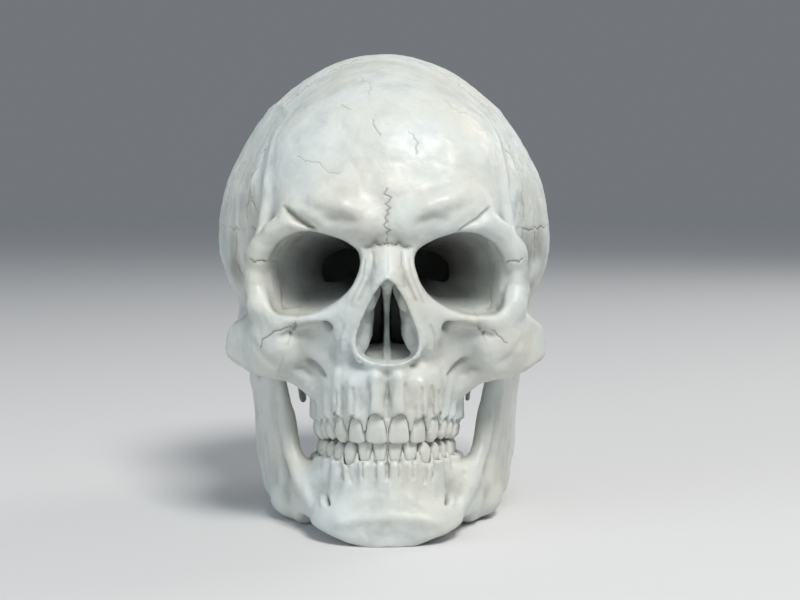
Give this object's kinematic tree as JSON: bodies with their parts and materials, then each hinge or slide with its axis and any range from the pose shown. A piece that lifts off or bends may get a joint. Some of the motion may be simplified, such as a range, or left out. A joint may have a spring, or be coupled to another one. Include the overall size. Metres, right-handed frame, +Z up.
{
  "type": "adult human skull model",
  "caption": "Adult human skull with sutured cranial and facial bones, hinged lower jaw and both full rows of teeth, standing on the jaw's lower border.",
  "frame": {"origin": "centre of the bounding box's bottom face, on the table under the jaw", "axes": "+Z up to the crown, -Y the way the face looks, +X to the skull's own left"},
  "size_m": [0.1591, 0.1936, 0.212],
  "materials": {
    "bone": "pale cool grey bone cast, satin, with grey-brown in the recesses",
    "tooth": "pale enamel, smoother and glossier than the bone"
  },
  "bodies": {
    "cranium": {"frontal_bone": "bone", "parietal_bone_left": "bone", "parietal_bone_right": "bone", "occipital_bone": "bone", "temporal_bone_left": "bone", "temporal_bone_right": "bone", "sphenoid_bone": "bone", "ethmoid_bone": "bone", "zygomatic_bone_left": "bone", "zygomatic_bone_right": "bone", "maxilla_left": "bone", "maxilla_right": "bone", "nasal_bone_left": "bone", "nasal_bone_right": "bone", "lacrimal_bone_left": "bone", "lacrimal_bone_right": "bone", "palatine_bone_left": "bone", "palatine_bone_right": "bone", "inferior_concha_left": "bone", "inferior_concha_right": "bone", "vomer": "bone", "upper_left_central_incisor": "tooth", "upper_left_lateral_incisor": "tooth", "upper_left_canine": "tooth", "upper_left_first_premolar": "tooth", "upper_left_second_premolar": "tooth", "upper_left_first_molar": "tooth", "upper_left_second_molar": "tooth", "upper_left_wisdom_tooth": "tooth", "upper_right_central_incisor": "tooth", "upper_right_lateral_incisor": "tooth", "upper_right_canine": "tooth", "upper_right_first_premolar": "tooth", "upper_right_second_premolar": "tooth", "upper_right_first_molar": "tooth", "upper_right_second_molar": "tooth", "upper_right_wisdom_tooth": "tooth"},
    "mandible": {"mandible": "bone", "lower_left_central_incisor": "tooth", "lower_left_lateral_incisor": "tooth", "lower_left_canine": "tooth", "lower_left_first_premolar": "tooth", "lower_left_second_premolar": "tooth", "lower_left_first_molar": "tooth", "lower_left_second_molar": "tooth", "lower_left_wisdom_tooth": "tooth", "lower_right_central_incisor": "tooth", "lower_right_lateral_incisor": "tooth", "lower_right_canine": "tooth", "lower_right_first_premolar": "tooth", "lower_right_second_premolar": "tooth", "lower_right_first_molar": "tooth", "lower_right_second_molar": "tooth", "lower_right_wisdom_tooth": "tooth"}
  },
  "joints": [
    {"name": "jaw_hinge", "type": "hinge", "parent": "cranium", "child": "mandible", "pos_m": [0, -0.00742, 0.0755], "axis": [1, 0, 0], "range_deg": [0, 24]}
  ]
}
